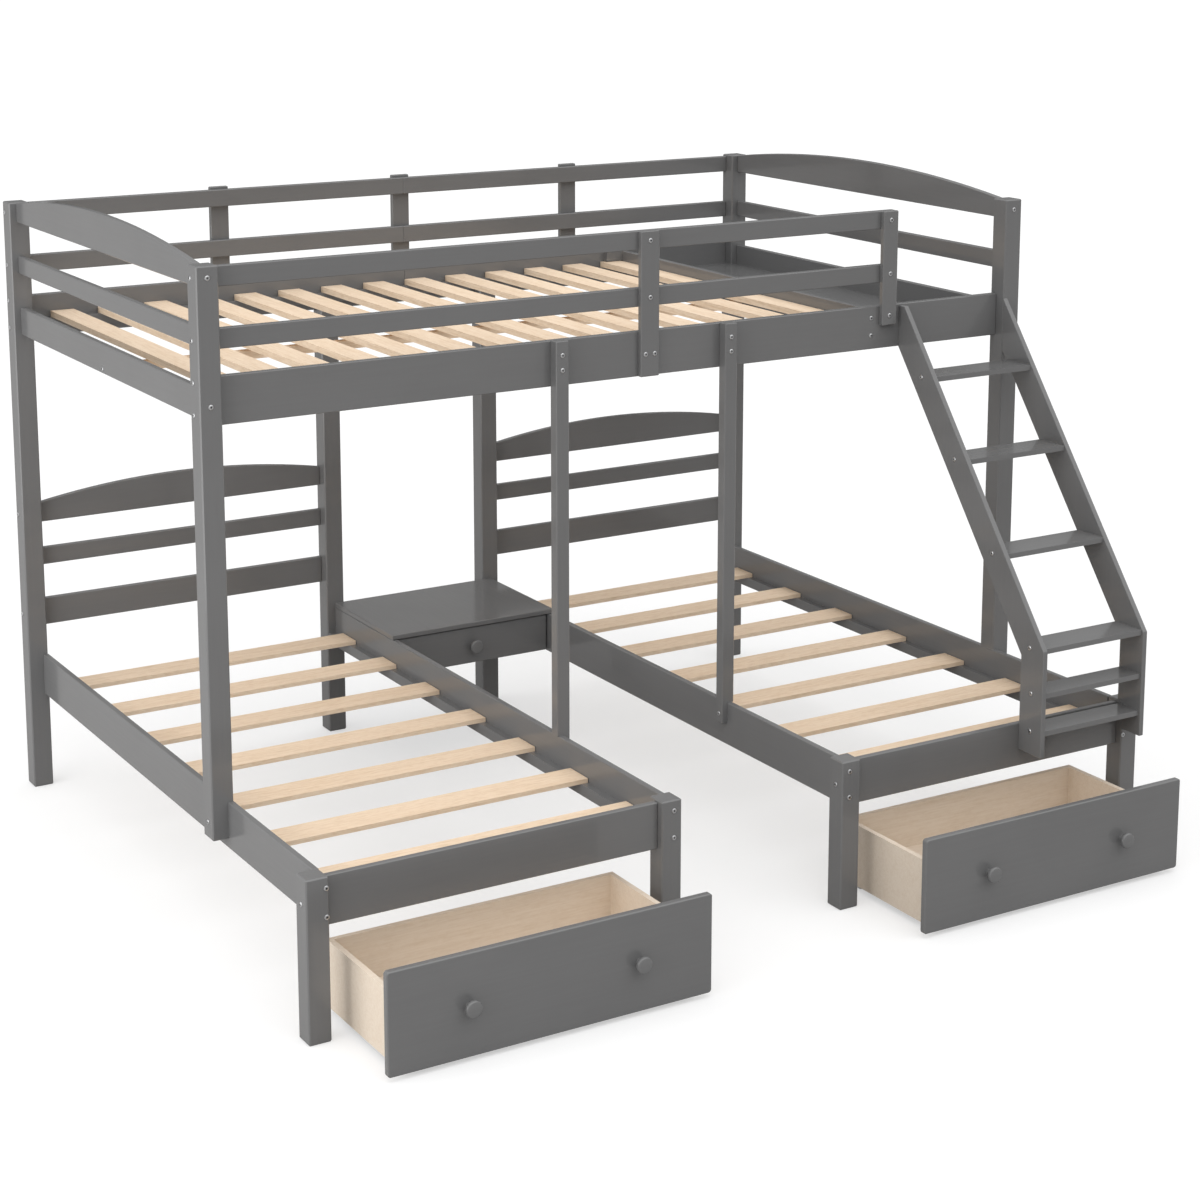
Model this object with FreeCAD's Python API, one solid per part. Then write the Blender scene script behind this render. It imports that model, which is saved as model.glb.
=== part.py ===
import FreeCAD, Part
import math
import os

Vector = FreeCAD.Vector

# Triple bunk bed: a wide upper bed across two lower beds, with a small nightstand in the gap between them.
# Millimetres, +Z up, +X to the right, -Y towards the viewer.
# The origin is on the floor under the middle of the whole part.
# A depth is measured from the rear faces of the back posts towards the front.

# Overall sizes
overall_width = 2500.0
gap_width = 488.0
lower_length = 1996.0
upper_depth = 1446.0

# Posts
post = 57.0
post_height = 1725.0
foot_post_height = 401.0
post_ease = 3.0

# Side rails and foot rails of the lower beds
rail_thick = 17.0
rail_height = 120.0
rail_drop = 1.0
outer_rail_inset = 42.0
inner_rail_inset = 14.0
foot_rail_drop = 6.0
foot_rail_setback = 20.0
rail_ease = 2.0

# Laps of the posts that stand on the lower side rails
outer_lap = 94.0
inner_lap = 58.0
inner_post_width = 38.0
inner_post_reach = 17.0
inner_post_head = 2.0

# Rails of the upper bed
upper_rail_thick = 20.0
upper_rail_height = 120.0
upper_rail_drop = 271.0
back_rail_inset = 2.0
front_rail_setback = 31.0

# Guard rails and the posts that carry them
guard_height = 50.0
guard_mid_drop = 156.0
guard_top_drop = 6.0
guard_post_thick = 16.0
guard_post_width = 57.0
gate_post_width = 50.0
gate_post_lift = 66.0
guard_post_rise = 7.0
splice_offset = 14.0
ladder_gate = 370.0

# Ends of the upper bed
end_rail_thick = 17.0
end_low_drop = 299.0
end_low_height = 78.0
end_mid_drop = 152.0
end_mid_height = 50.0
end_arch_drop = 1.0
end_arch_shoulder = 55.0
end_arch_rise = 46.0

# Headboards of the lower beds
head_inset = 5.0
head_low_lift = 78.0
head_low_height = 80.0
head_mid_lift = 259.0
head_mid_height = 51.0
head_arch_lift = 387.0
head_arch_shoulder = 57.0
head_arch_rise = 42.0

# Slats and the ledges under them
slat_play = 2.0
ledge_depth = 22.0
ledge_height = 30.0
upper_slat_count = 14
upper_slat_width = 69.0
upper_slat_thick = 17.0
upper_slat_drop = 50.0
upper_slat_margin = 61.0
lower_slat_count = 7
lower_slat_width = 90.0
lower_slat_thick = 12.0
lower_slat_drop = 67.0
lower_slat_margin = 61.0
beam_thick = 25.0
beam_height = 24.0
beam_drop = 15.0

# Storage tray at the ladder end of the upper bed
storage_length = 421.0
divider_thick = 16.0
divider_drop = 17.0
divider_height = 97.0
divider_block = 58.0
shelf_thick = 15.0
cleat_height = 13.0

# Nightstand between the lower beds
stand_depth = 403.0
stand_top_thick = 15.0
stand_wall = 12.0
stand_height = 115.0
stand_back_thick = 6.0
stand_front_setback = 8.0
stand_front_gap = 3.5
stand_drawer_head = 12.0
stand_drawer_side_play = 2.0
stand_drawer_back_play = 5.0
stand_drawer_top_gap = 4.0

# Drawers that roll under the lower beds, drawn part of the way out
drawer_pull = 273.0
drawer_side_gap = 18.5
drawer_head_gap = 13.0
drawer_front_thick = 16.0
drawer_lift = 12.0
drawer_corner = 8.0
drawer_ease = 2.5
box_side_inset = 36.5
box_length = 381.0
box_drop = 78.0
box_bottom = 16.0
box_wall = 14.0
panel_thick = 6.0
knob_spread_share = 0.524

# Turned knobs
knob_radius = 19.5
knob_length = 30.0
knob_sides = 20
knob_ring_shares = ((0.46, 0), (0.46, 0.3), (0.94, 0.46), (1, 0.6), (0.86, 0.82), (0.4, 1))

# Rollers of the drawers
wheel_radius = 26.0
wheel_width = 14.0
wheel_play = 0.5
axle_radius = 4.0
axle_fit = 0.05
axle_head_radius = 7.0
axle_head_length = 3.0
axle_plate = 20.0
axle_plate_thick = 3.0
wheel_margin = 52.0
wheel_headroom = 6.0

# Slanted ladder
ladder_width = 366.0
ladder_inset = 42.0
stringer_thick = 15.0
stringer_width = 90.0
ladder_kink_lift = 185.0
ladder_head_drop = 4.0
ladder_foot_drop = 79.0
stringer_ease = 1.5
tread_thick = 14.0
tread_setback = 7.0
tread_housing = 4.0
slant_tread_shares = (0.165, 0.345, 0.545, 0.741)
upright_tread_shares = (0.36, 0.757)

# Connecting screws
screw_head_radius = 6.0
screw_head_height = 2.0
screw_radius = 3.0
screw_bite = 34.0
short_bite = 14.0
screw_edge = 7.0
screw_sides = 4
head_sides = 6
rail_screw_shares = (0.25, 0.9)
foot_screw_shares = (0.2, 0.78)
post_screw_shares = (0.38, 0.705)
lap_screw_share = 0.45
middle_share = 0.5

# Side planes, as distances from the middle of the bed
half_width = overall_width / 2
gap_half = gap_width / 2
bed_width = half_width - gap_half
post_inner = half_width - post
near_post_outer = gap_half + post
outer_rail_outer = half_width - outer_rail_inset
outer_rail_inner = outer_rail_outer - rail_thick
inner_rail_gap = gap_half + inner_rail_inset
inner_rail_bed = inner_rail_gap + rail_thick
bed_middle = gap_half + bed_width / 2
drawer_width = bed_width - 2 * (post + drawer_side_gap)
box_width = drawer_width - 2 * box_side_inset
end_outer = half_width - (post - end_rail_thick) / 2
end_inner = end_outer - end_rail_thick
gate_x = post_inner - ladder_gate
divider_right = end_inner - storage_length
divider_left = divider_right - divider_thick

# Depths
back_rail_front = back_rail_inset + upper_rail_thick
tall_back = upper_depth - post
front_rail_front = upper_depth - front_rail_setback
front_rail_back = front_rail_front - upper_rail_thick
foot_back = lower_length - post
foot_rail_front = lower_length - foot_rail_setback
foot_rail_back = foot_rail_front - rail_thick
head_front = head_inset + rail_thick
guard_front = front_rail_front + guard_post_thick
guard_back = back_rail_inset - guard_post_thick
upper_middle = (post + tall_back) / 2
stand_front = post + stand_depth
drawer_face = foot_rail_front + drawer_pull
drawer_back = drawer_face - drawer_front_thick
front_reach = drawer_face + knob_length
back_y = (front_reach + guard_back) / 2

# Levels
rail_top = foot_post_height - rail_drop
rail_bottom = rail_top - rail_height
foot_rail_bottom = foot_post_height - foot_rail_drop - rail_height
upper_rail_top = post_height - upper_rail_drop
upper_rail_bottom = upper_rail_top - upper_rail_height
upper_slat_top = upper_rail_top - upper_slat_drop
upper_slat_bottom = upper_slat_top - upper_slat_thick
upper_ledge_bottom = upper_slat_bottom - ledge_height
lower_slat_bottom = rail_top - lower_slat_drop - lower_slat_thick
lower_ledge_bottom = lower_slat_bottom - ledge_height
guard_top = post_height - guard_top_drop
guard_bottoms = (post_height - guard_mid_drop - guard_height, guard_top - guard_height)
gate_post_bottom = upper_rail_bottom + gate_post_lift
end_low_bottom = post_height - end_low_drop - end_low_height
end_mid_bottom = post_height - end_mid_drop - end_mid_height
end_arch_bottom = post_height - end_arch_drop - end_arch_shoulder
head_low_bottom = rail_top + head_low_lift
head_mid_bottom = rail_top + head_mid_lift
head_arch_bottom = rail_top + head_arch_lift
divider_top = upper_rail_top - divider_drop
divider_bottom = divider_top - divider_height
divider_block_bottom = upper_slat_top + slat_play
beam_top = upper_slat_bottom - beam_drop
shelf_bottom = upper_rail_bottom + cleat_height
stand_bottom = rail_top - stand_height
stand_floor = stand_bottom + stand_wall
drawer_top = foot_rail_bottom - drawer_head_gap
box_top = drawer_top - box_drop
panel_bottom = 2 * wheel_radius + wheel_headroom

nodes = {}
screws = []


def place(x, depth, level):
    """Point at a distance from the middle, a depth from the back and a height."""
    return Vector(x, back_y - depth, level)


def block(x_ends, depths, levels, ease=0.0):
    """Board between two x places, two depths and two levels, with eased edges."""
    x_low, x_high = sorted(x_ends)
    sizes = (x_high - x_low, depths[1] - depths[0], levels[1] - levels[0])
    board = Part.makeBox(*sizes, place(x_low, depths[1], levels[0]))
    if ease:
        board = board.makeChamfer(ease, board.Edges)
    return board


def across(side, near, far):
    """The two x places of a piece on one side, from distances to the middle."""
    return (side * near, side * far)


def outline(points):
    """Closed face through straight runs between points."""
    return Part.Face(Part.makePolygon(points + points[:1]))


def ring(centre, way, radius, sides):
    """Corners of a regular ring that is square to a way."""
    side_way = Vector(0, 0, 1)
    up_way = way.cross(side_way)
    turns = [2 * math.pi * step / sides for step in range(sides)]
    return [centre + (side_way * math.cos(turn) + up_way * math.sin(turn)) * radius for turn in turns]


def prism(start, way, radius, length, sides):
    """Straight bar with regular sides, along a way from its start."""
    return outline(ring(start, way, radius, sides)).extrude(way * length)


def add_screw(x, depth, level, way, length):
    """Connecting screw: its head sits on a face and its shank runs the given way into the work."""
    start = place(x, depth, level)
    head = prism(start - way * screw_head_height, way, screw_head_radius, screw_head_height, head_sides)
    shank = prism(start, way, screw_radius, length, screw_sides)
    screws.append((head.fuse(shank), shank))


def save(name, *solids):
    """Keep the solids of one named piece, or of a group of like pieces."""
    nodes.setdefault(name, []).extend(solids)


TO_BACK = Vector(0, 1, 0)
TO_FRONT = Vector(0, -1, 0)
SIDES = {"left": -1, "right": 1}


def inward(side):
    """Way from an outer side face towards the middle of the bed."""
    return Vector(-side, 0, 0)


def arched_rail(start, along, length, thick_way, thick, shoulder, rise):
    """Rail with a straight lower edge and a top edge that is one shallow arc."""
    up = Vector(0, 0, 1)
    foot = start + along * length
    crown = start + along * (length / 2) + up * (shoulder + rise)
    edges = [
        Part.LineSegment(start, foot).toShape(),
        Part.LineSegment(foot, foot + up * shoulder).toShape(),
        Part.Arc(foot + up * shoulder, crown, start + up * shoulder).toShape(),
        Part.LineSegment(start + up * shoulder, start).toShape(),
    ]
    rail = Part.Face(Part.Wire(edges)).extrude(thick_way * thick)
    return rail.makeChamfer(rail_ease, rail.Edges)


# Posts that stand on the floor
def back_posts():
    for name, side in SIDES.items():
        outer = block(across(side, post_inner, half_width), (0, post), (0, post_height), post_ease)
        save("back_%s_post" % name, outer)
        near = across(side, gap_half, near_post_outer)
        shaft = block(near, (0, post), (0, upper_rail_bottom), post_ease)
        tongue = block(near, (back_rail_front, post), (foot_post_height, upper_ledge_bottom), post_ease)
        save("inner_back_%s_post" % name, shaft.fuse(tongue).removeSplitter())


def foot_posts():
    for name, side in SIDES.items():
        depths = (foot_back, lower_length)
        outer = block(across(side, post_inner, half_width), depths, (0, foot_post_height), post_ease)
        near = block(across(side, gap_half, near_post_outer), depths, (0, foot_post_height), post_ease)
        save("%s_foot_posts" % name, outer, near)


# Front posts of the upper bed, lapped over the lower side rails
def front_posts():
    for name, side in SIDES.items():
        depths = (tall_back, upper_depth)
        levels = (rail_top - outer_lap, post_height)
        shaft = block(across(side, post_inner, half_width), depths, levels, post_ease)
        notch = block(across(side, gap_half, outer_rail_outer), (0, lower_length), (0, rail_top))
        save("front_%s_post" % name, shaft.cut(notch))
        gap_face = inner_rail_gap - inner_post_reach
        near = across(side, gap_face, gap_face + inner_post_width)
        levels = (rail_top - inner_lap, upper_rail_top + inner_post_head)
        shaft = block(near, (front_rail_front, upper_depth), levels, rail_ease)
        notch = block(across(side, inner_rail_gap, half_width), (0, lower_length), (0, rail_top))
        save("inner_front_%s_post" % name, shaft.cut(notch))


# Long rails of the upper bed, each in two lengths that meet behind a guard post
def upper_rails():
    levels = (upper_rail_bottom, upper_rail_top)
    front = (front_rail_back, front_rail_front)
    back = (back_rail_inset, back_rail_front)
    for name, depths, seam in (("front", front, splice_offset), ("back", back, 0)):
        for ends in ((-post_inner, seam), (seam, post_inner)):
            save("upper_%s_rails" % name, block(ends, depths, levels, rail_ease))


def guard_rails():
    front = (front_rail_back, front_rail_front)
    back = (back_rail_inset, back_rail_front)
    for bottom in guard_bottoms:
        levels = (bottom, bottom + guard_height)
        save("front_guard_rails", block((-post_inner, gate_x), front, levels, rail_ease))
        for ends in ((-post_inner, 0), (0, post_inner)):
            save("back_guard_rails", block(ends, back, levels, rail_ease))


def guard_posts():
    front = (front_rail_front, guard_front)
    levels = (upper_rail_bottom, guard_top)
    middle = (splice_offset - guard_post_width / 2, splice_offset + guard_post_width / 2)
    save("front_guard_middle_post", block(middle, front, levels, rail_ease))
    gate = block((gate_x - gate_post_width, gate_x), front, (gate_post_bottom, guard_top), rail_ease)
    save("front_guard_gate_post", gate)
    levels = (upper_rail_bottom, guard_top + guard_post_rise)
    for centre in (-post_inner / 2, 0, post_inner / 2):
        ends = (centre - guard_post_width / 2, centre + guard_post_width / 2)
        save("back_guard_posts", block(ends, (guard_back, back_rail_inset), levels, rail_ease))


# Ends of the upper bed: an arched top rail over two straight ones
def upper_ends():
    low = (end_low_bottom, end_low_bottom + end_low_height)
    mid = (end_mid_bottom, end_mid_bottom + end_mid_height)
    for name, side in SIDES.items():
        ends = across(side, end_inner, end_outer)
        for levels in (low, mid):
            save("%s_end_rails" % name, block(ends, (post, tall_back), levels, rail_ease))
        start = place(min(ends), tall_back, end_arch_bottom)
        arch = arched_rail(start, TO_BACK, tall_back - post, Vector(1, 0, 0), end_rail_thick,
                           end_arch_shoulder, end_arch_rise)
        save("%s_end_arched_rail" % name, arch)


# Headboards of the lower beds, between their back posts
def headboards():
    depths = (head_inset, head_front)
    low = (head_low_bottom, head_low_bottom + head_low_height)
    mid = (head_mid_bottom, head_mid_bottom + head_mid_height)
    for name, side in SIDES.items():
        ends = across(side, near_post_outer, post_inner)
        rails = [block(ends, depths, levels, rail_ease) for levels in (low, mid)]
        save("%s_headboard_rails" % name, *rails)
        start = place(min(ends), head_inset, head_arch_bottom)
        arch = arched_rail(start, Vector(1, 0, 0), post_inner - near_post_outer, TO_FRONT, rail_thick,
                           head_arch_shoulder, head_arch_rise)
        save("%s_headboard_arch" % name, arch)


def lower_rails():
    depths = (post, foot_back)
    levels = (rail_bottom, rail_top)
    for name, side in SIDES.items():
        outer = block(across(side, outer_rail_inner, outer_rail_outer), depths, levels, rail_ease)
        near = block(across(side, inner_rail_gap, inner_rail_bed), depths, levels, rail_ease)
        save("%s_bed_side_rails" % name, outer, near)
        foot_levels = (foot_rail_bottom, foot_rail_bottom + rail_height)
        foot_ends = across(side, near_post_outer, post_inner)
        foot = block(foot_ends, (foot_rail_back, foot_rail_front), foot_levels, rail_ease)
        save("%s_bed_foot_rail" % name, foot)


def spread(first, last, width, count):
    """Low edges of evenly spread boards between two limits."""
    pitch = (last - first - width) / (count - 1)
    return [first + pitch * step for step in range(count)]


# Slat beds of the two lower berths
def lower_slats():
    slat_levels = (lower_slat_bottom, lower_slat_bottom + lower_slat_thick)
    ledge_levels = (lower_ledge_bottom, lower_slat_bottom)
    first = post + lower_slat_margin
    last = foot_back - lower_slat_margin
    for name, side in SIDES.items():
        ends = across(side, inner_rail_bed + slat_play, outer_rail_inner - slat_play)
        for low in spread(first, last, lower_slat_width, lower_slat_count):
            slat = block(ends, (low, low + lower_slat_width), slat_levels)
            save("%s_bed_slats" % name, slat)
        outer = across(side, outer_rail_inner - ledge_depth, outer_rail_inner)
        near = across(side, inner_rail_bed, inner_rail_bed + ledge_depth)
        ledges = [block(place_ends, (post, foot_back), ledge_levels) for place_ends in (near, outer)]
        save("lower_ledges", *ledges)


# Slat bed of the upper berth, with the beam that takes the slats at mid length when they bend
def upper_slats():
    slat_levels = (upper_slat_bottom, upper_slat_top)
    ledge_levels = (upper_ledge_bottom, upper_slat_bottom)
    depths = (back_rail_front + slat_play, front_rail_back - slat_play)
    first = upper_slat_margin - post_inner
    for low in spread(first, divider_left - slat_play, upper_slat_width, upper_slat_count):
        save("upper_slats", block((low, low + upper_slat_width), depths, slat_levels))
    ledge_ends = (-post_inner, divider_left)
    back = (back_rail_front, back_rail_front + ledge_depth)
    front = (front_rail_back - ledge_depth, front_rail_back)
    save("upper_ledges", *[block(ledge_ends, depths, ledge_levels) for depths in (back, front)])
    beam_depths = (upper_middle - beam_thick / 2, upper_middle + beam_thick / 2)
    beam_levels = (beam_top - beam_height, beam_top)
    save("upper_centre_beam", block((-end_inner, divider_left), beam_depths, beam_levels))


# Storage tray beside the ladder: a divider board held by corner blocks, a shelf and its cleats
def storage_tray():
    depths = (back_rail_front, front_rail_back)
    levels = (divider_bottom, divider_top)
    save("storage_divider", block((divider_left, divider_right), depths, levels, rail_ease))
    shelf = block((divider_right, end_inner), depths, (shelf_bottom, shelf_bottom + shelf_thick))
    for corner in ((0, post), (tall_back, upper_depth)):
        shelf = shelf.cut(block((post_inner, half_width), corner, (0, post_height)))
    save("storage_shelf", shelf)
    cleat_levels = (upper_rail_bottom, shelf_bottom)
    block_levels = (divider_block_bottom, divider_top)
    back = (back_rail_front, back_rail_front + ledge_depth)
    front = (front_rail_back - ledge_depth, front_rail_back)
    for depths in (back, front):
        save("storage_cleats", block((divider_right, post_inner), depths, cleat_levels))
        save("storage_cleats", block((divider_left - divider_block, divider_left), depths, block_levels))


def knob(x, face, level):
    """Turned knob: a neck that flares into a rounded head, standing out of a drawer front."""
    rings = []
    for radius_share, reach_share in knob_ring_shares:
        centre = place(x, face + knob_length * reach_share, level)
        rings.append(ring(centre, TO_FRONT, knob_radius * radius_share, knob_sides))
    facets = [outline(rings[0]), outline(rings[-1])]
    for low, high in zip(rings, rings[1:]):
        for turn in range(knob_sides):
            facets.append(outline([low[turn - 1], low[turn], high[turn], high[turn - 1]]))
    return Part.Solid(Part.Shell(facets))


def open_box(x_ends, depths, levels, wall, floor_level):
    """Drawer box of five boards: two sides, a front, a back and a bottom panel."""
    low, high = sorted(x_ends)
    inner = (low + wall, high - wall)
    boards = [
        block((low, inner[0]), depths, levels),
        block((inner[1], high), depths, levels),
        block(inner, (depths[0], depths[0] + wall), levels),
        block(inner, (depths[1] - wall, depths[1]), levels),
        block(inner, (depths[0] + wall, depths[1] - wall), (floor_level, floor_level + panel_thick)),
    ]
    return boards


# Nightstand that hangs between the inner side rails
def nightstand():
    top_levels = (rail_top, rail_top + stand_top_thick)
    top = block((-inner_rail_bed, inner_rail_bed), (post, stand_front), top_levels, rail_ease)
    save("nightstand_top", top)
    face = stand_front - stand_front_setback
    front_back = face - drawer_front_thick
    wall_inner = inner_rail_gap - stand_wall
    case = (post, front_back)
    for side in SIDES.values():
        walls = block(across(side, wall_inner, inner_rail_gap), case, (stand_bottom, rail_top))
        save("nightstand_case", walls)
    save("nightstand_case", block((-wall_inner, wall_inner), case, (stand_bottom, stand_floor)))
    back_depths = (post, post + stand_back_thick)
    save("nightstand_case", block((-wall_inner, wall_inner), back_depths, (stand_floor, rail_top)))
    front_half = inner_rail_gap - stand_front_gap
    front_levels = (stand_bottom, rail_top - stand_drawer_top_gap)
    front = block((-front_half, front_half), (front_back, face), front_levels, rail_ease)
    save("nightstand_drawer_front", front)
    box_half = wall_inner - stand_drawer_side_play
    box_depths = (back_depths[1] + stand_drawer_back_play, front_back)
    box_levels = (stand_floor, rail_top - stand_drawer_head)
    box = open_box((-box_half, box_half), box_depths, box_levels, stand_wall, stand_floor)
    save("nightstand_drawer_box", *box)
    middle = stand_bottom + (front_levels[1] - stand_bottom) * middle_share
    save("nightstand_knob", knob(0, face, middle))


def drawer_panel(x_ends):
    """Drawer front with rounded corners and eased edges."""
    levels = (drawer_lift, drawer_top)
    panel = block(x_ends, (drawer_back, drawer_face), levels)
    corners = [edge for edge in panel.Edges if abs(edge.tangentAt(edge.FirstParameter).y) > middle_share]
    panel = panel.makeFillet(drawer_corner, corners)
    front_plane = place(0, drawer_face, 0).y
    rims = [edge for edge in panel.Edges if edge.BoundBox.YMax < front_plane + drawer_ease]
    return panel.makeChamfer(drawer_ease, rims)


def roller(x_inner, side, depth):
    """Wheel and the plate with its stub axle, on the inner face of a drawer side."""
    way = Vector(side, 0, 0)
    hub = place(x_inner, depth, wheel_radius)
    plate = block((x_inner, x_inner + side * axle_plate_thick),
                  (depth - axle_plate / 2, depth + axle_plate / 2),
                  (box_bottom, box_bottom + axle_plate))
    near = hub + way * axle_plate_thick
    journal = wheel_width + 2 * wheel_play
    stub = Part.makeCylinder(axle_radius, journal, near, way)
    head = prism(near + way * journal, way, axle_head_radius, axle_head_length, head_sides)
    axle = plate.fuse([stub, head]).removeSplitter()
    wheel = Part.makeCylinder(wheel_radius, wheel_width, near + way * wheel_play, way)
    bore = Part.makeCylinder(axle_radius + axle_fit, journal, near, way)
    return axle, wheel.cut(bore)


# Rolling drawers under the lower beds
def under_bed_drawers():
    front_axle = drawer_back - wheel_margin
    back_axle = drawer_back - box_length + wheel_margin
    for name, side in SIDES.items():
        centre = side * bed_middle
        ends = (centre - drawer_width / 2, centre + drawer_width / 2)
        save("%s_drawer_front" % name, drawer_panel(ends))
        box_ends = (centre - box_width / 2, centre + box_width / 2)
        depths = (drawer_back - box_length, drawer_back)
        box = open_box(box_ends, depths, (box_bottom, box_top), box_wall, panel_bottom)
        save("%s_drawer_box" % name, *box)
        level = (drawer_lift + drawer_top) / 2
        knob_half = drawer_width * knob_spread_share / 2
        for knob_x in (centre - knob_half, centre + knob_half):
            save("%s_drawer_knobs" % name, knob(knob_x, drawer_face, level))
        for axle_name, depth in (("front", front_axle), ("back", back_axle)):
            for way, edge in ((1, box_ends[0] + box_wall), (-1, box_ends[1] - box_wall)):
                axle, wheel = roller(edge, way, depth)
                save("%s_drawer_axles" % name, axle)
                save("%s_drawer_%s_wheels" % (name, axle_name), wheel)


# Ladder: two stringers that bend upright at the foot rail, with treads let into them
ladder_right = half_width - ladder_inset
ladder_left = ladder_right - ladder_width
ladder_top = upper_rail_top - ladder_head_drop
ladder_foot = foot_post_height - ladder_foot_drop
upright_back = foot_rail_front
upright_front = upright_back + stringer_width
back_kink = foot_post_height + ladder_kink_lift
run_share = (upright_back - front_rail_front) / (upper_rail_bottom - back_kink)
slant_depth = stringer_width * math.hypot(1, run_share)
front_kink = back_kink + (slant_depth - stringer_width) / run_share


def stringer(x_low):
    """Plank with a slanted run that bears on the upper rail and an upright foot on the foot rail."""
    corners = [
        (upright_front, ladder_foot),
        (upright_front, front_kink),
        (front_rail_back, front_kink + (upright_front - front_rail_back) / run_share),
        (front_rail_back, back_kink + (upright_back - front_rail_back) / run_share),
        (upright_back, back_kink),
        (upright_back, ladder_foot),
    ]
    face = outline([place(x_low, depth, level) for depth, level in corners])
    plank = face.extrude(Vector(stringer_thick, 0, 0))
    ends = (x_low, x_low + stringer_thick)
    room = block(ends, (front_rail_front, upright_front), (ladder_foot, ladder_top))
    plank = plank.common(room)
    return plank.makeChamfer(stringer_ease, plank.Edges)


def tread_places():
    """Depth of the front edge, depth of the back edge and middle level of each tread."""
    places = []
    for share in slant_tread_shares:
        level = ladder_top - (ladder_top - ladder_foot) * share
        front = min(upright_front, upright_front - (level - front_kink) * run_share)
        places.append((front - tread_setback, front - slant_depth + tread_setback, level))
    for share in upright_tread_shares:
        level = back_kink - (back_kink - ladder_foot) * share
        places.append((upright_front - tread_setback, upright_back + tread_setback, level))
    return places


def ladder():
    planks = {"left": stringer(ladder_left), "right": stringer(ladder_right - stringer_thick)}
    behind_post = block((post_inner, half_width), (0, upper_depth), (0, post_height))
    behind_foot = block((post_inner, half_width), (0, lower_length), (0, foot_post_height))
    for front, back, level in tread_places():
        levels = (level - tread_thick / 2, level + tread_thick / 2)
        inner = (ladder_left + stringer_thick - tread_housing, ladder_right - stringer_thick + tread_housing)
        tread = block(inner, (back, front), levels)
        planks = {name: plank.cut(tread) for name, plank in planks.items()}
        save("ladder_treads", tread.cut(behind_foot))
        middle = (front + back) / 2
        for side, face in ((-1, ladder_left), (1, ladder_right)):
            add_screw(face, middle, level, inward(side), stringer_thick + screw_bite)
    planks["right"] = planks["right"].cut([behind_post, behind_foot])
    for name, plank in planks.items():
        save("ladder_%s_stringer" % name, plank)


def shares_of(bottom, height, shares):
    """Levels at shares of a board's height."""
    return [bottom + height * share for share in shares]


# Screws of the upper bed
def upper_screws():
    rail_levels = shares_of(upper_rail_bottom, upper_rail_height, rail_screw_shares)
    guard_levels = [bottom + guard_height * middle_share for bottom in guard_bottoms]
    end_levels = [end_low_bottom + end_low_height * middle_share,
                  end_arch_bottom + end_arch_shoulder * middle_share]
    end_x = (end_inner + end_outer) / 2
    through = post + screw_bite
    for side in SIDES.values():
        for level in rail_levels + guard_levels:
            add_screw(side * half_width, back_rail_front - screw_edge, level, inward(side), through)
        front_levels = rail_levels if side > 0 else rail_levels + guard_levels
        for level in front_levels:
            add_screw(side * half_width, front_rail_front - screw_edge, level, inward(side), through)
        for level in end_levels:
            add_screw(side * end_x, upper_depth, level, TO_BACK, through)


def guard_screws():
    bite = guard_post_thick + short_bite
    rail_level = upper_rail_bottom + upper_rail_height * middle_share
    guard_levels = [bottom + guard_height * middle_share for bottom in guard_bottoms]
    pair = (-guard_post_width / 4, guard_post_width / 4)
    for offset in pair:
        add_screw(splice_offset + offset, guard_front, rail_level, TO_BACK, bite)
    for level in guard_levels:
        add_screw(splice_offset, guard_front, level, TO_BACK, bite)
    gate_level = gate_post_bottom + (upper_rail_top - gate_post_bottom) * middle_share
    for level in [gate_level] + guard_levels:
        add_screw(gate_x - gate_post_width / 2, guard_front, level, TO_BACK, bite)


def tray_screws():
    block_x = divider_left - divider_block / 2
    bite = upper_rail_thick + short_bite
    for level in ((upper_ledge_bottom + upper_slat_bottom) / 2, (divider_block_bottom + divider_top) / 2):
        add_screw(block_x, front_rail_front, level, TO_BACK, bite)
    beam_level = beam_top - beam_height / 2
    add_screw(-end_outer, upper_middle, beam_level, inward(-1), end_rail_thick + screw_bite)


# Screws of the lower beds
def lower_screws():
    through = post + screw_bite
    foot_levels = shares_of(rail_bottom, rail_height, foot_screw_shares)
    head_levels = [head_low_bottom + head_low_height * middle_share,
                   head_arch_bottom + head_arch_shoulder * middle_share]
    rail_xs = {"outer": (outer_rail_inner + outer_rail_outer) / 2,
               "near": (inner_rail_gap + inner_rail_bed) / 2}
    foot_middle = (foot_rail_back + foot_rail_front) / 2
    head_middle = (head_inset + head_front) / 2
    foot_level = foot_rail_bottom + rail_height * middle_share
    for side in SIDES.values():
        for spot, rail_x in rail_xs.items():
            for level in foot_levels:
                under_ladder = side > 0 and spot == "outer" and level > ladder_foot
                if not under_ladder:
                    add_screw(side * rail_x, lower_length, level, TO_BACK, through)
        for face, way in ((half_width, inward(side)), (gap_half, inward(-side))):
            add_screw(side * face, foot_middle, foot_level, way, through)
        for level in head_levels:
            add_screw(side * half_width, head_middle, level, inward(side), through)


def lap_screws():
    lap_level = rail_top - outer_lap + outer_lap * lap_screw_share
    lap_depth = upper_depth - post / 2
    near_depth = (front_rail_front + upper_depth) / 2
    near_level = rail_top - inner_lap + inner_lap * lap_screw_share
    gap_face = inner_rail_gap - inner_post_reach
    near_x = gap_face + inner_post_width / 2
    rail_levels = shares_of(upper_rail_bottom, upper_rail_height, post_screw_shares)
    for side in SIDES.values():
        add_screw(side * half_width, lap_depth, lap_level, inward(side), outer_rail_inset + short_bite)
        add_screw(side * gap_face, near_depth, near_level, inward(-side), inner_post_reach + short_bite)
        for level in rail_levels:
            add_screw(side * near_x, upper_depth, level, TO_BACK, front_rail_setback + short_bite)


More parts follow.
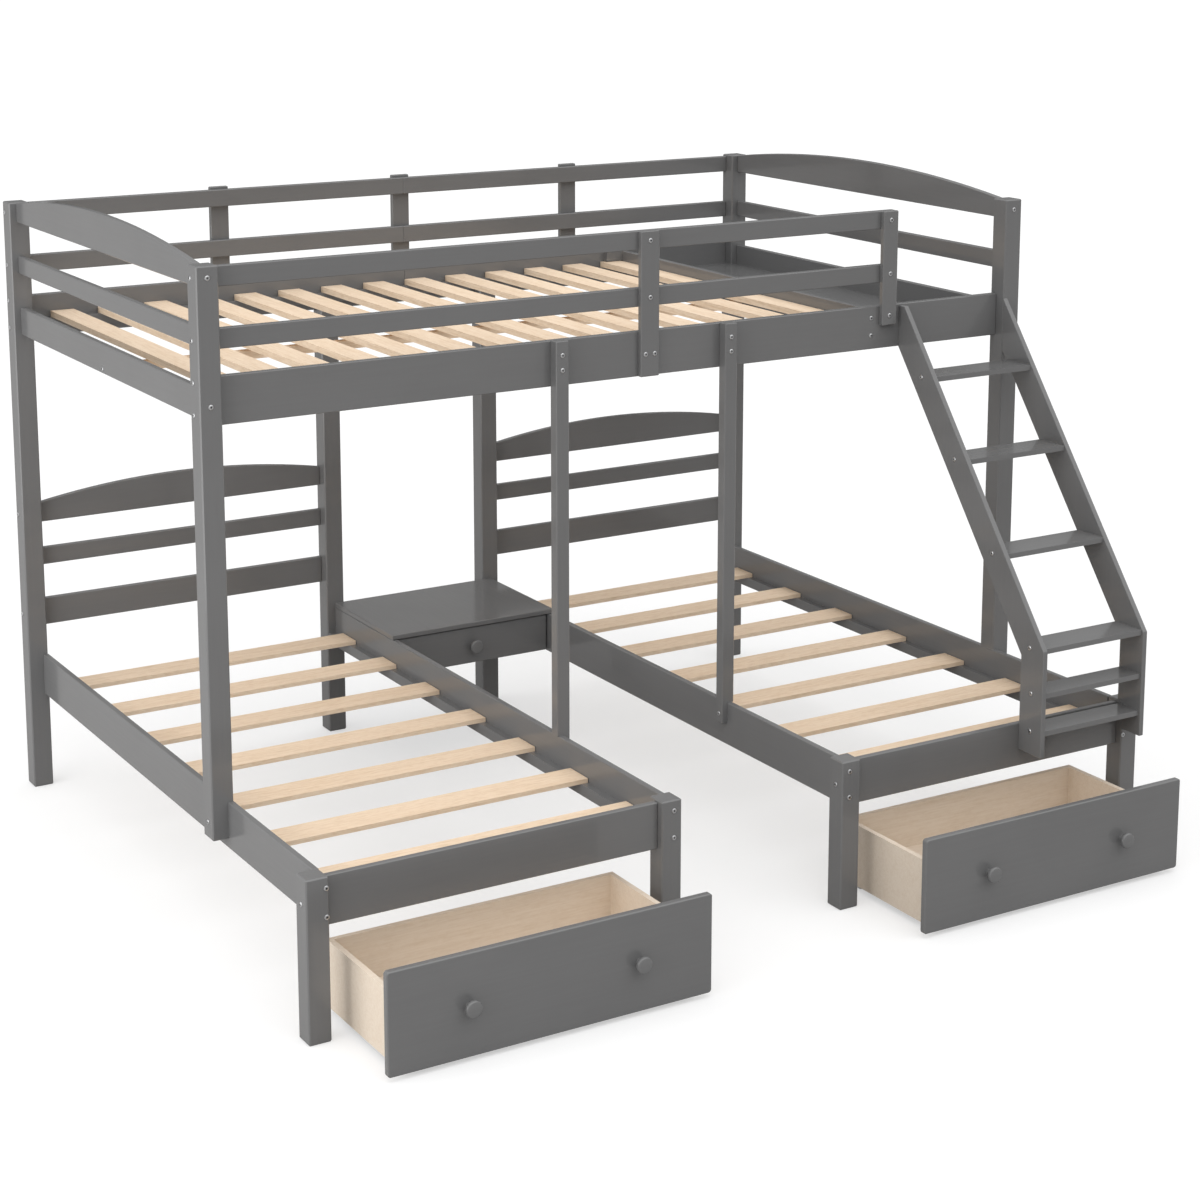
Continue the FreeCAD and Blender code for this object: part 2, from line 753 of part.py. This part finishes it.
def drill(solid):
    """Cut the holes of the screws that reach a solid."""
    holes = [shank for whole, shank in screws if shank.BoundBox.intersect(solid.BoundBox)]
    return solid.cut(holes) if holes else solid


back_posts()
foot_posts()
front_posts()
upper_rails()
guard_rails()
guard_posts()
upper_ends()
headboards()
lower_rails()
lower_slats()
upper_slats()
storage_tray()
nightstand()
under_bed_drawers()
ladder()
upper_screws()
guard_screws()
tray_screws()
lower_screws()
lap_screws()

os.makedirs("parts", exist_ok=True)
drilled = {name: [drill(solid) for solid in solids] for name, solids in nodes.items()}
drilled["connecting_screws"] = [whole for whole, shank in screws]
for name, solids in drilled.items():
    pieces = [piece for solid in solids for piece in solid.Solids]
    shape = pieces[0] if len(pieces) == 1 else Part.makeCompound(pieces)
    shape.exportStep("parts/%s.step" % name)
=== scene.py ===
import math

import bmesh
import bpy
from mathutils import Matrix, Vector


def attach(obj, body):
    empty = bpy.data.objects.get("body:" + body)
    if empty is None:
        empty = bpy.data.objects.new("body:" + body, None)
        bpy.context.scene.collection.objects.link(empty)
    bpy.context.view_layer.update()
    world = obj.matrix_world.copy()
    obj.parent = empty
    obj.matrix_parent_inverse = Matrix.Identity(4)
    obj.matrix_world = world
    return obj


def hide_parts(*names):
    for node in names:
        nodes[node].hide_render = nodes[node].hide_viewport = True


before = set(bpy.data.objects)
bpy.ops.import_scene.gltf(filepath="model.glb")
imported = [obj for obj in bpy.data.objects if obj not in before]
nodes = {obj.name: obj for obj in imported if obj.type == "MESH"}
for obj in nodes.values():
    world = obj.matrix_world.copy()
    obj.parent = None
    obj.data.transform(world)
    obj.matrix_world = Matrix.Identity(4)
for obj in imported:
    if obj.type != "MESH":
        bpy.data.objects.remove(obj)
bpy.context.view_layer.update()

# Colours, linear
WHITE = (1.0, 1.0, 1.0)
PAINT = (0.158, 0.158, 0.159)
# Lighter grey painted along the edges as a highlight
PAINT_EDGE_HIGHLIGHT = (0.182, 0.182, 0.182)
PINE = (0.905, 0.738, 0.572)
PINE_DARK = (0.760, 0.550, 0.350)
BOARD = (0.800, 0.708, 0.606)
BOARD_DARK = (0.735, 0.620, 0.500)
STEEL = (0.66, 0.665, 0.675)
# Near black for the hex sockets of the screw heads: painted shade in the recess
SOCKET_SHADE = (0.16, 0.16, 0.165)
PLASTIC = (0.620, 0.625, 0.630)
FLOOR_DULL = (0.97, 0.97, 0.97)
FLOOR_CLEAR = (0.98, 0.98, 0.98)
FLOOR_BOUNCE = (0.43, 0.425, 0.42)

# Tints, which multiply the colour under them
PAINT_STREAK = (0.93, 0.93, 0.93)
WOOD_FIBRE = (0.84, 0.79, 0.72)
WOOD_FLECK = (0.82, 0.74, 0.66)
BOARD_DULL = (0.95, 0.93, 0.90)
BOARD_BRIGHT = (1.03, 1.02, 1.0)

# Shares and counts in the grain
PEEL_SHARE = 0.35
FLECK_SHARE = 0.55
RING_LINES = 9.0

# Distance between changes of tone in a beam or a box, metres
LONG_PITCH = 0.4

# Screws, metres: HEAD_HEIGHT is the CAD head's, the other heights are reaches from the seat,
# and a point within END_BAND of a CAD screw's end lies on that end
HEAD_RADIUS = 0.0062
HEAD_HEIGHT = 0.002
RIM_HEIGHT = 0.0011
SHOULDER_RADIUS = 0.0053
SHOULDER_HEIGHT = 0.0019
FACE_RADIUS = 0.0031
FACE_HEIGHT = 0.0021
SOCKET_RADIUS = 0.0024
SOCKET_FLOOR_RADIUS = 0.0023
SOCKET_FLOOR_HEIGHT = 0.0006
HEAD_SEGMENTS = 24
END_BAND = 0.0001

# Rows are radius, reach from the seat, and whether the ring is a hexagon
HEAD_PROFILE = [
    (HEAD_RADIUS, 0.0, False),
    (HEAD_RADIUS, RIM_HEIGHT, False),
    (SHOULDER_RADIUS, SHOULDER_HEIGHT, False),
    (FACE_RADIUS, FACE_HEIGHT, False),
    (SOCKET_RADIUS, FACE_HEIGHT, True),
    (SOCKET_FLOOR_RADIUS, SOCKET_FLOOR_HEIGHT, True),
    (0, SOCKET_FLOOR_HEIGHT, True),
]

# Rows are shares of the CAD knob's radius and of its length
KNOB_SHARES = [
    (0.0, 0.0), (0.46, 0.0), (0.46, 0.20), (0.50, 0.30), (0.62, 0.38),
    (0.84, 0.46), (0.98, 0.56), (1.06, 0.68), (1.08, 0.78), (1.07, 0.86),
    (1.02, 0.92), (0.94, 0.955), (0.80, 0.975), (0.45, 0.992), (0.0, 1.0),
]
KNOB_SEGMENTS = 40

# Edges that bend more than this stay crisp under smooth shading
CRISP_ANGLE = math.radians(40)

# Angle that one side of a hexagon takes up
SIDE_ANGLE = math.pi / 3

# Floor, metres: half its side, and its depth under the feet
FLOOR_REACH = 60.0
FLOOR_DROP = 0.0005
FLOOR_SQUARES = 8
FLOOR_GLOW_SHARE = 0.5

# Strength of the dome light from the left, from above, from high in front and from all round,
# and how much of the light from above is held back towards the rear
LEFT_LIGHT = 0.2
TOP_LIGHT = 1.5
FRONT_LIGHT = 1.32
ROUND_LIGHT = 0.08
REAR_SHADE = 0.45

# Soft light at the left end, metres and watts
SOFT_SIZE = (4.0, 2.6)
SOFT_PLACE = (-4.2, -0.4, 0.9)
SOFT_AIM = (0, 0, 0.6)
SOFT_POWER = 83.0

# Camera: place and reach in metres, focal length in pixels of the photograph, sensor in millimetres
CAMERA_PLACE = (-3.392, -5.7265, 2.600)
CAMERA_YAW = math.radians(30.93)
CAMERA_PITCH = math.radians(10.80)
CAMERA_SHIFT = -0.2
CAMERA_REACH = 200.0
FOCAL_PIXELS = 2487
PHOTO_PIXELS = 1200
SENSOR = 36.0

# Sockets of a colour mix node: the share and the two colours, and the mixed colour
MIX_INPUTS = (0, 6, 7)
MIX_OUTPUT = 2


class Shading:
    """Short ways to write shader nodes into one node tree, which is emptied first."""

    def __init__(self, tree):
        self.tree = tree
        tree.nodes.clear()

    def add(self, kind, **settings):
        """New node with its settings."""
        node = self.tree.nodes.new(kind)
        for name, value in settings.items():
            setattr(node, name, value)
        return node

    def feed(self, socket, value):
        """Link a socket to another node's output, or set it to a colour or another constant."""
        if isinstance(value, bpy.types.NodeSocket):
            self.tree.links.new(value, socket)
        elif isinstance(value, tuple):
            socket.default_value = (*value, 1)
        else:
            socket.default_value = value

    def in_order(self, kind, *values, **settings):
        """New node with its settings, and its inputs fed in order."""
        node = self.add(kind, **settings)
        for socket, value in zip(node.inputs, values):
            self.feed(socket, value)
        return node

    def by_name(self, kind, inputs, **settings):
        """New node with its settings, and its inputs fed by name."""
        node = self.add(kind, **settings)
        for name, value in inputs.items():
            self.feed(node.inputs[name], value)
        return node

    def maths(self, operation, *values):
        return self.in_order("ShaderNodeMath", *values, operation=operation).outputs[0]

    def noise(self, vector, scale, detail, roughness=0.5, distortion=0.0):
        inputs = {"Vector": vector, "Scale": scale, "Detail": detail,
                  "Roughness": roughness, "Distortion": distortion}
        return self.by_name("ShaderNodeTexNoise", inputs).outputs["Fac"]

    def spread(self, value, low, high, value_low=0.0, value_high=1.0):
        """Value carried from its own range to the range from low to high."""
        inputs = {"Value": value, "From Min": value_low, "From Max": value_high,
                  "To Min": low, "To Max": high}
        return self.by_name("ShaderNodeMapRange", inputs).outputs[0]

    def ramp(self, factor, *stops):
        """Colour by a factor, from stops of a position and a colour."""
        node = self.in_order("ShaderNodeValToRGB", factor)
        elements = node.color_ramp.elements
        while len(elements) < len(stops):
            elements.new(0.5)
        for element, (position, colour) in zip(elements, stops):
            element.position = position
            element.color = (*colour, 1)
        return node.outputs[0]

    def mix(self, base, other, share, blend="MIX"):
        """Base colour with a share of another."""
        node = self.add("ShaderNodeMix", data_type="RGBA", blend_type=blend)
        for socket, value in zip(MIX_INPUTS, (share, base, other)):
            self.feed(node.inputs[socket], value)
        return node.outputs[MIX_OUTPUT]

    def tint(self, base, colour, share):
        """Base colour multiplied by a share of a tint."""
        return self.mix(base, colour, share, "MULTIPLY")

    def choose(self, factor, first, second):
        """Shader that goes from the first to the second with the factor."""
        return self.in_order("ShaderNodeMixShader", factor, first, second).outputs[0]

    def object_place(self):
        return self.add("ShaderNodeTexCoord").outputs["Object"]

    def drawn_out(self, place, grain, along, across):
        """Place scaled so that a noise is drawn out along the grain's axis."""
        scale = [across, across, across]
        scale["xyz".index(grain)] = along
        return self.by_name("ShaderNodeMapping", {"Vector": place, "Scale": scale}).outputs[0]

    def edge_highlight_mask(self, radius, gain):
        """High along edges, from the angle between a rounded normal and the true one."""
        rounded = self.by_name("ShaderNodeBevel", {"Radius": radius}, samples=4).outputs[0]
        true = self.add("ShaderNodeNewGeometry").outputs["Normal"]
        dot = self.in_order("ShaderNodeVectorMath", rounded, true, operation="DOT_PRODUCT")
        bend = self.maths("SUBTRACT", 1.0, dot.outputs["Value"])
        return self.maths("MINIMUM", self.maths("MULTIPLY", bend, gain), 1.0)

    def seen_by_camera(self):
        return self.add("ShaderNodeLightPath").outputs["Is Camera Ray"]


def new_material(name):
    """Material with an empty node tree, and the way to write its nodes."""
    material = bpy.data.materials.new(name)
    material.use_nodes = True
    return material, Shading(material.node_tree)


def finish_surface(shading, tone, rough, height, strength, distance, **others):
    """Principled surface with a tone, a roughness, a bump and other named inputs."""
    bump = shading.by_name("ShaderNodeBump", {"Strength": strength, "Distance": distance, "Height": height})
    inputs = {"Base Color": tone, "Roughness": rough, "Normal": bump.outputs[0]}
    for name, value in others.items():
        inputs[name.replace("_", " ")] = value
    shader = shading.by_name("ShaderNodeBsdfPrincipled", inputs)
    shading.in_order("ShaderNodeOutputMaterial", shader.outputs[0])


def scaled(colour, factor):
    """Colour made lighter or darker, never past white."""
    return tuple(min(1.0, factor * part) for part in colour)


def paint(name, grain):
    """Grey satin paint over wood: faint grain, cloudy tone, edges lightened as a painted highlight, a thin
    clear coat.
    """
    material, shading = new_material(name)
    place = shading.object_place()
    drawn = shading.drawn_out(place, grain, along=5.0, across=140.0)
    fibre = shading.noise(drawn, scale=1.0, detail=5.0, roughness=0.6)
    cloud = shading.noise(place, scale=3.5, detail=3.0)
    peel = shading.noise(place, scale=420.0, detail=2.0)
    tone = shading.ramp(cloud, (0.3, PAINT), (0.7, scaled(PAINT, 1.06)))
    streak = shading.ramp(fibre, (0.35, PAINT_STREAK), (0.65, WHITE))
    tone = shading.tint(tone, streak, share=0.42)
    # Edges lightened by a bevel mask: a painted highlight along the edges
    tone = shading.mix(tone, PAINT_EDGE_HIGHLIGHT, share=shading.edge_highlight_mask(radius=0.003, gain=3.0))
    rough = shading.spread(fibre, low=0.17, high=0.25, value_low=0.3, value_high=0.7)
    height = shading.maths("ADD", fibre, shading.maths("MULTIPLY", peel, PEEL_SHARE))
    finish_surface(shading, tone, rough, height, strength=0.05, distance=0.0005,
                   Specular_IOR_Level=0.4, Coat_Weight=0.3, Coat_Roughness=0.06)
    return material


def bare_wood(name, grain, pale, dark, rings, board_axis, pitch, rough_low, rough_high, fine_share):
    """Planed softwood: long grain lines, short flecks, a tone for each board."""
    material, shading = new_material(name)
    place = shading.object_place()
    drawn = shading.drawn_out(place, grain, along=1.6, across=42.0)
    level = shading.in_order("ShaderNodeSeparateXYZ", place).outputs["xyz".index(board_axis)]
    step = shading.maths("FLOOR", shading.maths("DIVIDE", level, pitch))
    board = shading.by_name("ShaderNodeTexWhiteNoise", {"W": step}, noise_dimensions="1D")
    moved = shading.in_order("ShaderNodeVectorMath", drawn, board.outputs["Color"], operation="ADD")
    wave = shading.noise(moved.outputs[0], scale=rings, detail=4.0, roughness=0.55, distortion=0.6)
    fibre = shading.noise(moved.outputs[0], scale=7.0, detail=5.0, roughness=0.65)
    short = shading.drawn_out(place, grain, along=38.0, across=130.0)
    fleck = shading.noise(short, scale=1.0, detail=2.0, roughness=0.6)
    lines = shading.maths("PINGPONG", shading.maths("MULTIPLY", wave, RING_LINES), 1.0)
    tone = shading.ramp(lines, (0.05, dark), (0.42, pale), (1.0, scaled(pale, 1.04)))
    tone = shading.mix(tone, pale, share=0.72)
    fibre_tint = shading.ramp(fibre, (0.34, WOOD_FIBRE), (0.60, WHITE))
    tone = shading.tint(tone, fibre_tint, share=fine_share)
    fleck_tint = shading.ramp(fleck, (0.38, WOOD_FLECK), (0.52, WHITE))
    tone = shading.tint(tone, fleck_tint, share=FLECK_SHARE * fine_share)
    board_tint = shading.ramp(board.outputs["Value"], (0.0, BOARD_DULL), (1.0, BOARD_BRIGHT))
    tone = shading.tint(tone, board_tint, share=0.8)
    rough = shading.spread(fibre, low=rough_low, high=rough_high, value_low=0.3, value_high=0.7)
    finish_surface(shading, tone, rough, fibre, strength=0.18, distance=0.0008, Specular_IOR_Level=0.3)
    return material


def pine(name, grain, board_axis, pitch):
    """Bare pine of the slats and of the beam under them."""
    return bare_wood(name, grain, PINE, PINE_DARK, rings=1.2, board_axis=board_axis, pitch=pitch,
                     rough_low=0.5, rough_high=0.62, fine_share=0.55)


def metal(name, colour, rough_low, rough_high):
    """Zinc plated steel with a fine, cloudy sheen."""
    material, shading = new_material(name)
    cloud = shading.noise(shading.object_place(), scale=240.0, detail=3.0)
    tone = shading.ramp(cloud, (0.3, scaled(colour, 0.86)), (0.7, colour))
    rough = shading.spread(cloud, low=rough_low, high=rough_high)
    finish_surface(shading, tone, rough, cloud, strength=0.08, distance=0.0002, Metallic=1.0)
    return material


def moulded(name, colour, rough_low, rough_high):
    """Moulded plastic with a fine spark-eroded grain."""
    material, shading = new_material(name)
    place = shading.object_place()
    cloud = shading.noise(place, scale=35.0, detail=3.0)
    grain = shading.noise(place, scale=900.0, detail=2.0)
    tone = shading.ramp(cloud, (0.3, scaled(colour, 0.9)), (0.7, colour))
    rough = shading.spread(cloud, low=rough_low, high=rough_high)
    finish_surface(shading, tone, rough, grain, strength=0.15, distance=0.0002)
    return material


def islands(item):
    """Vertex groups of a mesh that hang together."""
    mesh = item.data
    owner = list(range(len(mesh.vertices)))

    def root(index):
        while owner[index] != index:
            owner[index] = owner[owner[index]]
            index = owner[index]
        return index

    places = {}
    for vertex in mesh.vertices:
        key = tuple(round(part, 6) for part in vertex.co)
        owner[root(vertex.index)] = root(places.setdefault(key, vertex.index))
    for edge in mesh.edges:
        first, second = edge.vertices
        owner[root(first)] = root(second)
    groups = {}
    for vertex in mesh.vertices:
        groups.setdefault(root(vertex.index), []).append(vertex.co.copy())
    return [groups[key] for key in sorted(groups)]


def box_of(points):
    """Low corner, high corner and centre of the box round some points."""
    low = Vector([min(point[axis] for point in points) for axis in range(3)])
    high = Vector([max(point[axis] for point in points) for axis in range(3)])
    return low, high, (low + high) / 2


def slat_pitch(node, axis):
    """Distance from one slat of a node to the next."""
    starts = [box_of(points)[0]["xyz".index(axis)] for points in islands(nodes[node])]
    return (max(starts) - min(starts)) / (len(starts) - 1)


# Materials, with a paint for each way that the grain runs
paint_x = paint("grey_paint_along_x", "x")
paint_y = paint("grey_paint_along_y", "y")
paint_z = paint("grey_paint_along_z", "z")
steel = metal("zinc_plated_steel", STEEL, rough_low=0.22, rough_high=0.38)
# Dark steel inside the hex sockets: painted shade in the recess
socket_painted_shade = metal("socket_shade", SOCKET_SHADE, rough_low=0.5, rough_high=0.7)
plastic = moulded("roller_plastic", PLASTIC, rough_low=0.38, rough_high=0.5)
pine_upper = pine("pine_upper_slats", "y", "x", slat_pitch("upper_slats", "x"))
pine_lower = pine("pine_lower_slats", "x", "y", slat_pitch("left_bed_slats", "y"))
pine_beam = pine("pine_beam", "x", "z", LONG_PITCH)
board_x = bare_wood("drawer_board", "x", BOARD, BOARD_DARK, rings=0.8, board_axis="y", pitch=LONG_PITCH,
                    rough_low=0.48, rough_high=0.6, fine_share=0.3)

# Words in the names of nodes whose grain runs along y
ALONG_Y = ("side_rails", "end_rails", "end_arched_rail", "ledges", "divider", "nightstand_top", "cleats")


def finish_for(name):
    """Material of a CAD node by its kind."""
    if name == "upper_slats":
        return pine_upper
    if name.endswith("bed_slats"):
        return pine_lower
    if name == "upper_centre_beam":
        return pine_beam
    if name.endswith("drawer_box"):
        return board_x
    if name == "connecting_screws" or name.endswith("axles"):
        return steel
    if name.endswith("wheels"):
        return plastic
    if name.endswith(("post", "posts", "stringer")):
        return paint_z
    if any(word in name for word in ALONG_Y):
        return paint_y
    return paint_x


for name, item in nodes.items():
    item.data.materials.clear()
    item.data.materials.append(finish_for(name))


def new_object(name, shape, materials, smooth=True):
    """Object from a bmesh, with its materials."""
    mesh = bpy.data.meshes.new(name)
    shape.to_mesh(mesh)
    shape.free()
    for material in materials:
        mesh.materials.append(material)
    for polygon in mesh.polygons:
        polygon.use_smooth = smooth
    if smooth:
        mesh.set_sharp_from_angle(angle=CRISP_ANGLE)
    item = bpy.data.objects.new(name, mesh)
    bpy.context.scene.collection.objects.link(item)
    return item


def hexagon_reach(angle):
    """Distance to the side of a hexagon with inner radius one, at an angle."""
    from_middle = (angle + SIDE_ANGLE / 2) % SIDE_ANGLE - SIDE_ANGLE / 2
    return 1 / math.cos(from_middle)


def lathe(shape, profile, start, way, segments):
    """Turned surface: rows are radius, reach along the way, and whether the ring is a hexagon."""
    turn = way.to_track_quat("Z", "Y").to_matrix().to_4x4()
    place = Matrix.Translation(start) @ turn
    rings = []
    for radius, reach, hexagon in profile:
        if radius == 0:
            rings.append([shape.verts.new(place @ Vector((0, 0, reach)))])
            continue
        ring = []
        for step in range(segments):
            angle = 2 * math.pi * step / segments
            far = radius * hexagon_reach(angle) if hexagon else radius
            corner = Vector((far * math.cos(angle), far * math.sin(angle), reach))
            ring.append(shape.verts.new(place @ corner))
        rings.append(ring)
    in_socket = [hexagon for radius, reach, hexagon in profile]
    for low, high, low_in, high_in in zip(rings, rings[1:], in_socket, in_socket[1:]):
        for step in range(segments):
            after = (step + 1) % segments
            if len(low) == 1:
                corners = (low[0], high[after], high[step])
            elif len(high) == 1:
                corners = (low[step], low[after], high[0])
            else:
                corners = (low[step], low[after], high[after], high[step])
            face = shape.faces.new(corners)
            # Faces inside a hexagon socket take the second material, a painted shade for the recess
            face.material_index = int(low_in and high_in)


def screw(shape, seat, way, shank_radius=0, shank_length=0):
    """Closed screw with its head on the seat and its shank, if it has one, behind it."""
    shank = [(0, -shank_length, False)]
    if shank_radius:
        shank += [(shank_radius, -shank_length, False), (shank_radius, 0.0, False)]
    lathe(shape, shank + HEAD_PROFILE, seat, way, HEAD_SEGMENTS)


def end_radius(points, axis, end, centre):
    """Radius of a screw at one of its ends."""
    across = 0 if axis else 1
    near = [point for point in points if abs(point[axis] - end[axis]) < END_BAND]
    return max(abs(point[across] - centre[across]) for point in near)


# Connecting screws, each with its head on the outer face and its shank in the wood
heads = bmesh.new()
for points in islands(nodes["connecting_screws"]):
    low, high, centre = box_of(points)
    size = high - low
    axis = max(range(3), key=lambda i: size[i])
    radius_low = end_radius(points, axis, low, centre)
    radius_high = end_radius(points, axis, high, centre)
    head_is_high = radius_high > radius_low
    way = Vector((0, 0, 0))
    way[axis] = 1.0 if head_is_high else -1.0
    seat = centre.copy()
    seat[axis] = (high if head_is_high else low)[axis] - way[axis] * HEAD_HEIGHT
    screw(heads, seat, way, min(radius_low, radius_high), size[axis] - HEAD_HEIGHT)
screw_heads = new_object("screw_heads", heads, [steel, socket_painted_shade])
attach(screw_heads, "frame")
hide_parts("connecting_screws")

# Screw heads on the rear guard posts, one at each rail
rear = bmesh.new()
rail_levels = set()
for rail in ("back_guard_rails", "upper_back_rails"):
    for points in islands(nodes[rail]):
        rail_levels.add(round(box_of(points)[2].z, 4))
for points in islands(nodes["back_guard_posts"]):
    low, high, centre = box_of(points)
    for level in sorted(rail_levels):
        screw(rear, Vector((centre.x, high.y, level)), Vector((0, 1, 0)))
rear_heads = new_object("rear_screw_heads", rear, [steel, socket_painted_shade])
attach(rear_heads, "frame")

# Turned knobs
for node, body in (("left_drawer_knobs", "left_drawer"), ("right_drawer_knobs", "right_drawer"),
                   ("nightstand_knob", "nightstand_drawer")):
    knobs = bmesh.new()
    for points in islands(nodes[node]):
        low, high, centre = box_of(points)
        radius = (high.z - low.z) / 2
        length = high.y - low.y
        profile = [(radius * across, length * along, False) for across, along in KNOB_SHARES]
        lathe(knobs, profile, Vector((centre.x, high.y, centre.z)), Vector((0, -1, 0)), KNOB_SEGMENTS)
    piece = new_object(node + "_turned", knobs, [paint_x])
    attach(piece, body)
    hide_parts(node)


def floor_material():
    """White to the camera, with its shadows halved, and a dimmer grey to bounced light."""
    material, shading = new_material("floor_white")
    mottle = shading.noise(shading.object_place(), scale=0.8, detail=2.0)
    tone = shading.ramp(mottle, (0.3, FLOOR_DULL), (0.7, FLOOR_CLEAR))
    lit = shading.by_name("ShaderNodeBsdfDiffuse", {"Color": tone})
    paper = shading.by_name("ShaderNodeEmission", {"Color": tone, "Strength": 1.0})
    bounced = shading.by_name("ShaderNodeBsdfDiffuse", {"Color": FLOOR_BOUNCE})
    seen = shading.choose(FLOOR_GLOW_SHARE, lit.outputs[0], paper.outputs[0])
    both = shading.choose(shading.seen_by_camera(), bounced.outputs[0], seen)
    shading.in_order("ShaderNodeOutputMaterial", both)
    return material


floor_grid = bmesh.new()
bmesh.ops.create_grid(floor_grid, x_segments=FLOOR_SQUARES, y_segments=FLOOR_SQUARES, size=FLOOR_REACH)
floor = new_object("floor", floor_grid, [floor_material()], smooth=False)
floor.location.z = -FLOOR_DROP


def studio_dome():
    """Dome brightest overhead and high in front, a little lit from the left; white to the camera."""
    world = bpy.data.worlds.new("studio")
    world.use_nodes = True
    sky = Shading(world.node_tree)
    way = sky.add("ShaderNodeTexCoord").outputs["Generated"]
    right, back, up = sky.in_order("ShaderNodeSeparateXYZ", way).outputs
    leftward = sky.maths("MAXIMUM", sky.maths("MULTIPLY", right, -1.0), 0.0)
    frontward = sky.maths("MAXIMUM", sky.maths("MULTIPLY", back, -1.0), 0.0)
    backward = sky.maths("MAXIMUM", back, 0.0)
    height = sky.maths("MAXIMUM", up, 0.0)
    open_share = sky.maths("SUBTRACT", 1.0, sky.maths("MULTIPLY", backward, REAR_SHADE))
    from_left = sky.maths("MULTIPLY", leftward, LEFT_LIGHT)
    from_top = sky.maths("MULTIPLY", sky.maths("MULTIPLY", height, open_share), TOP_LIGHT)
    from_front = sky.maths("MULTIPLY", sky.maths("MULTIPLY", frontward, height), FRONT_LIGHT)
    sides = sky.maths("ADD", from_left, from_top)
    glow = sky.maths("ADD", sides, sky.maths("ADD", from_front, ROUND_LIGHT))
    dome = sky.by_name("ShaderNodeBackground", {"Color": WHITE, "Strength": glow})
    white = sky.by_name("ShaderNodeBackground", {"Color": WHITE, "Strength": 1.0})
    both = sky.choose(sky.seen_by_camera(), dome.outputs[0], white.outputs[0])
    sky.in_order("ShaderNodeOutputWorld", both)
    return world


def soft_light():
    """One large soft light close to the left end."""
    light = bpy.data.lights.new("left_box", "AREA")
    light.shape = "RECTANGLE"
    light.size, light.size_y = SOFT_SIZE
    light.energy = SOFT_POWER
    left_box = bpy.data.objects.new("left_box", light)
    left_box.location = SOFT_PLACE
    left_box.rotation_euler = (Vector(SOFT_AIM) - left_box.location).to_track_quat("-Z", "Y").to_euler()
    bpy.context.scene.collection.objects.link(left_box)


def photo_camera():
    """Camera at the photograph's angle."""
    lens = bpy.data.cameras.new("camera")
    lens.sensor_width = SENSOR
    lens.lens = SENSOR * FOCAL_PIXELS / PHOTO_PIXELS
    lens.shift_y = CAMERA_SHIFT
    lens.clip_end = CAMERA_REACH
    level = math.cos(CAMERA_PITCH)
    look = Vector((math.sin(CAMERA_YAW) * level, math.cos(CAMERA_YAW) * level, -math.sin(CAMERA_PITCH)))
    camera = bpy.data.objects.new("camera", lens)
    camera.location = CAMERA_PLACE
    camera.rotation_euler = look.to_track_quat("-Z", "Y").to_euler()
    bpy.context.scene.collection.objects.link(camera)
    return camera


# Light, camera and view
bpy.context.scene.world = studio_dome()
soft_light()
bpy.context.scene.camera = photo_camera()
bpy.context.scene.view_settings.view_transform = "Standard"
